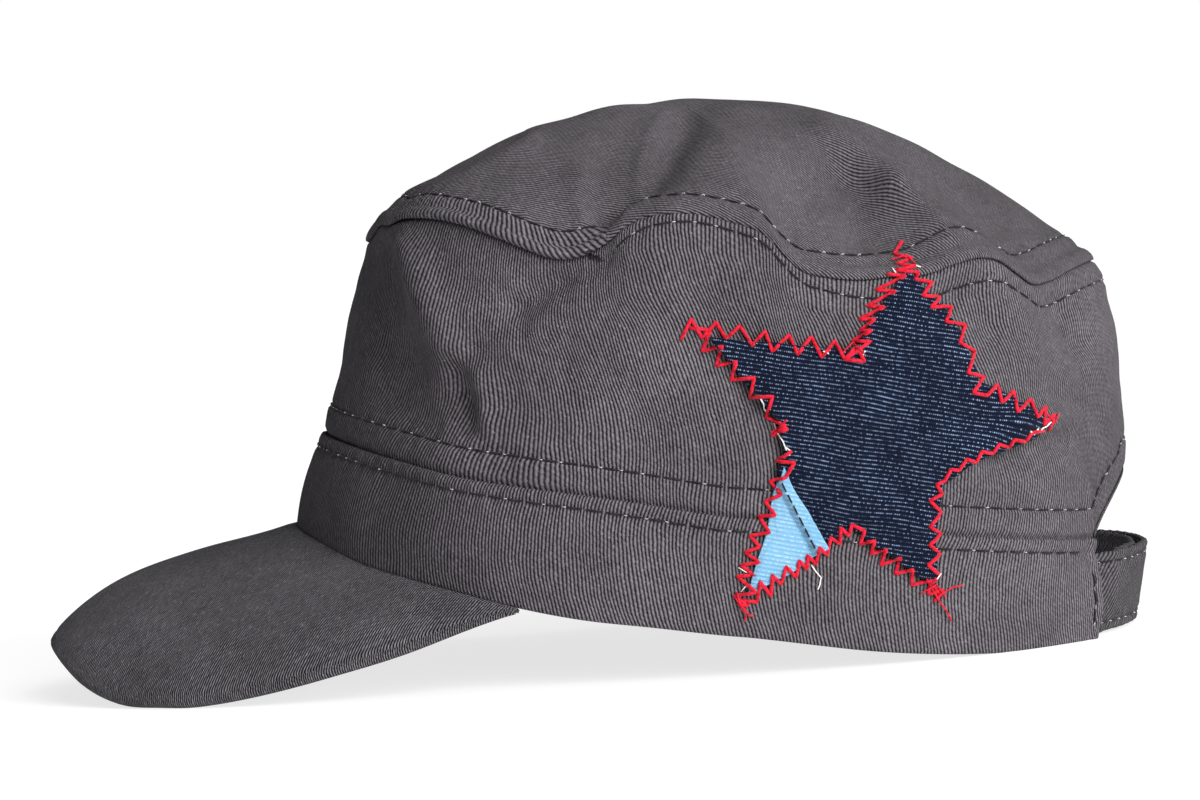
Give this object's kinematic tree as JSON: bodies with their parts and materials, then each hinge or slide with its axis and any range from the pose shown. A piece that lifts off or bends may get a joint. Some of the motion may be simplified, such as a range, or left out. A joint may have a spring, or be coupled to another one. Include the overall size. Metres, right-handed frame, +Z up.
{
  "type": "cadet cap",
  "caption": "Soft cadet cap of grey twill with a flat-topped crown, upright band, short curved peak, denim star sewn to the left side and an adjustable rear strap.",
  "frame": {"origin": "on the surface that the cap rests on, under the middle of its outer box", "axes": "+Z up, -X towards the tip of the peak, -Y towards the wearer's left side, which carries the star"},
  "size_m": [0.2622, 0.1635, 0.1305],
  "materials": {
    "grey_twill": "washed cotton twill, matt, with fine ribs",
    "navy_denim": "dark indigo denim with pale flecks",
    "pale_denim": "bleached denim",
    "black_tape": "woven fastening tape"
  },
  "bodies": {
    "root": {"crown_top": "grey_twill", "crown_wall": "grey_twill", "band": "grey_twill", "peak": "grey_twill", "strap_left": "grey_twill", "strap_right": "grey_twill", "strap_tape": "black_tape", "star_patch": "navy_denim", "star_patch_corner": "pale_denim"}
  },
  "joints": []
}
